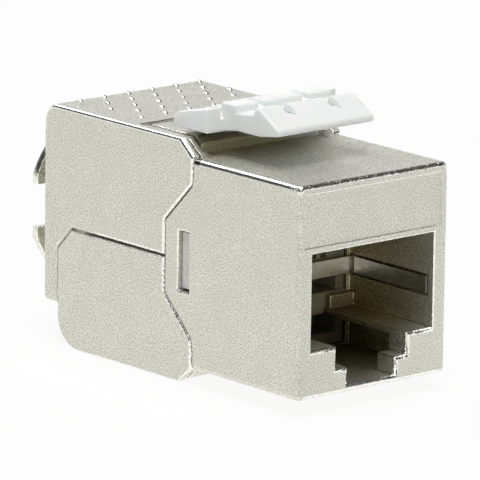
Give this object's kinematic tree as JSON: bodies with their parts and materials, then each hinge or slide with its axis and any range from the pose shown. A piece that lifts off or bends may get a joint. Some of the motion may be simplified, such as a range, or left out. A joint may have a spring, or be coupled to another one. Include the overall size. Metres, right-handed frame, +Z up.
{
  "type": "keystone jack",
  "caption": "Shielded tool-free keystone jack: front block with stepped plug port, snap latch on top, hinged cast wings and a split collar for the cable.",
  "frame": {"origin": "middle of the front block's lower front edge, in the plane of the plug opening", "axes": "+X to the right seen from the plug side, +Y back along the plug's way in to the cable end, +Z up towards the latch"},
  "size_m": [0.0144, 0.0319, 0.0214],
  "materials": {
    "cast_metal": "nickel-plated zinc casting, fine satin",
    "latch_plastic": "milky moulded polycarbonate",
    "spring_metal": "rolled strip",
    "insert_plastic": "light grey moulded",
    "contact_gold": "gold-plated bronze",
    "board_laminate": "glass-filled laminate",
    "block_plastic": "white moulded",
    "blade_metal": "tin-plated bronze"
  },
  "bodies": {
    "jack": {"front_housing": "cast_metal", "shield_spring": "spring_metal", "contact_carrier": "insert_plastic", "contact_1": "contact_gold", "contact_2": "contact_gold", "contact_3": "contact_gold", "contact_4": "contact_gold", "contact_5": "contact_gold", "contact_6": "contact_gold", "contact_7": "contact_gold", "contact_8": "contact_gold", "circuit_board": "board_laminate", "idc_block": "block_plastic", "idc_blade_1": "blade_metal", "idc_blade_2": "blade_metal", "idc_blade_3": "blade_metal", "idc_blade_4": "blade_metal", "idc_blade_5": "blade_metal", "idc_blade_6": "blade_metal", "idc_blade_7": "blade_metal", "idc_blade_8": "blade_metal", "wire_cap": "block_plastic"},
    "upper_wing_body": {"upper_wing": "cast_metal"},
    "lower_wing_body": {"lower_wing": "cast_metal"},
    "latch_body": {"latch": "latch_plastic"}
  },
  "joints": [
    {"name": "upper_hinge", "type": "hinge", "parent": "jack", "child": "upper_wing_body", "pos_m": [0, 0.01372, 0.0159], "axis": [1, 0, 0], "range_deg": [0, 70]},
    {"name": "lower_hinge", "type": "hinge", "parent": "jack", "child": "lower_wing_body", "pos_m": [0, 0.01372, 0.00025], "axis": [1, 0, 0], "range_deg": [-70, 0]},
    {"name": "latch_press", "type": "hinge", "parent": "jack", "child": "latch_body", "pos_m": [0, 0.0152, 0.0163], "axis": [1, 0, 0], "range_deg": [0, 9], "stiffness_Nm_per_rad": 0.5}
  ],
  "couplings": [
    {"joint": "lower_hinge", "follows": "upper_hinge", "ratio": -1}
  ]
}
